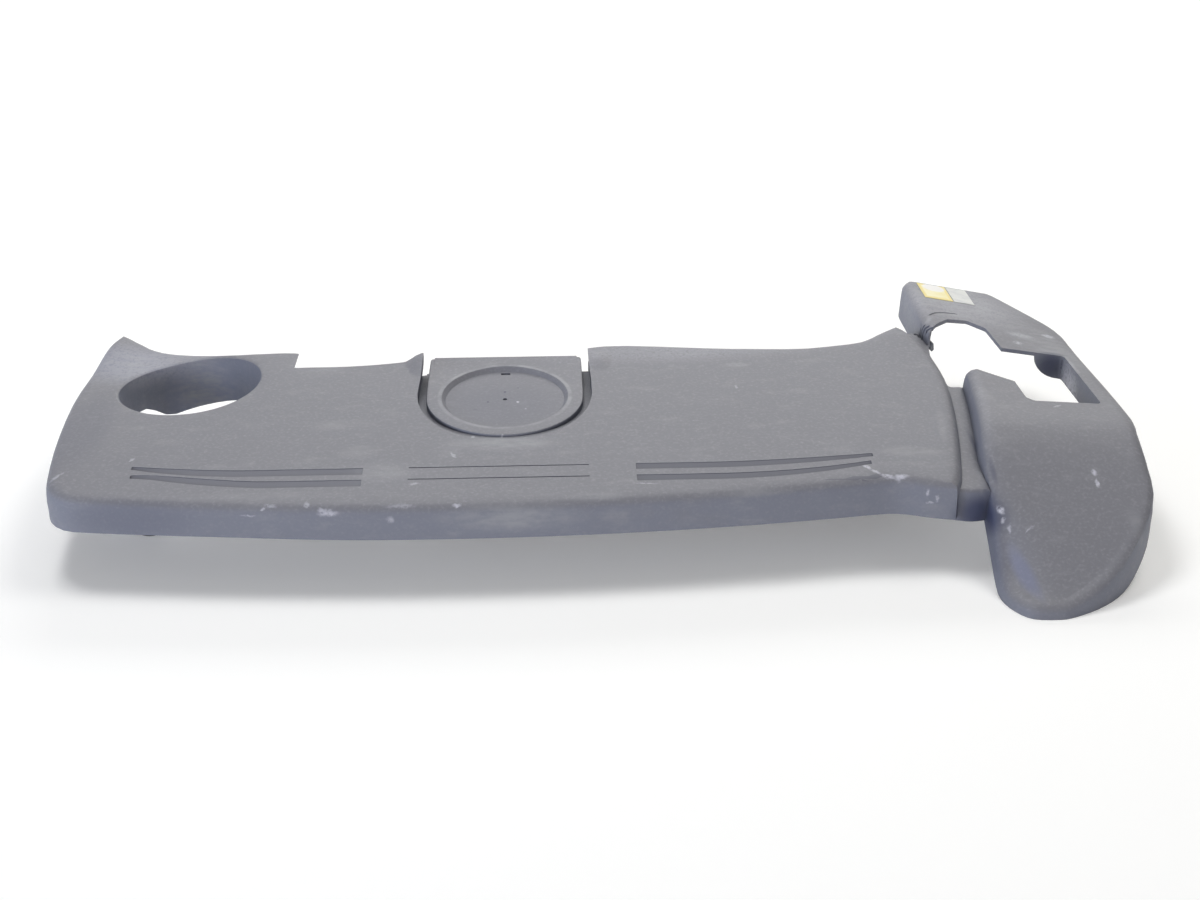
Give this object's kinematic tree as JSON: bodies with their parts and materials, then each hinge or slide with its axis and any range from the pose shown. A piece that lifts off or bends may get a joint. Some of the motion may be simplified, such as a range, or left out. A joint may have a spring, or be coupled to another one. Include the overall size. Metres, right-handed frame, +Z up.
{
  "type": "engine cover",
  "caption": "Long moulded engine cover with an oval oil filler opening, a rounded badge pad, grooves, and a wider belt end that droops at the front and has an opening.",
  "frame": {"origin": "centre of the plan box, on the floor that the cover rests on", "axes": "+X along the engine towards the belt end, +Y to the back of the engine bay, +Z up"},
  "size_m": [0.6462, 0.3148, 0.0806],
  "materials": {
    "moulded_plastic": "fine matt grain, aged grey",
    "yellow_film": "printed film, plain yellow",
    "silver_film": "printed film, plain silver",
    "black_rubber": "matt"
  },
  "bodies": {
    "root": {"cover_shell": "moulded_plastic", "yellow_label": "yellow_film", "silver_label": "silver_film", "grommet_front_left": "black_rubber", "grommet_back_left": "black_rubber", "grommet_front_right": "black_rubber", "grommet_back_right": "black_rubber"}
  },
  "joints": []
}
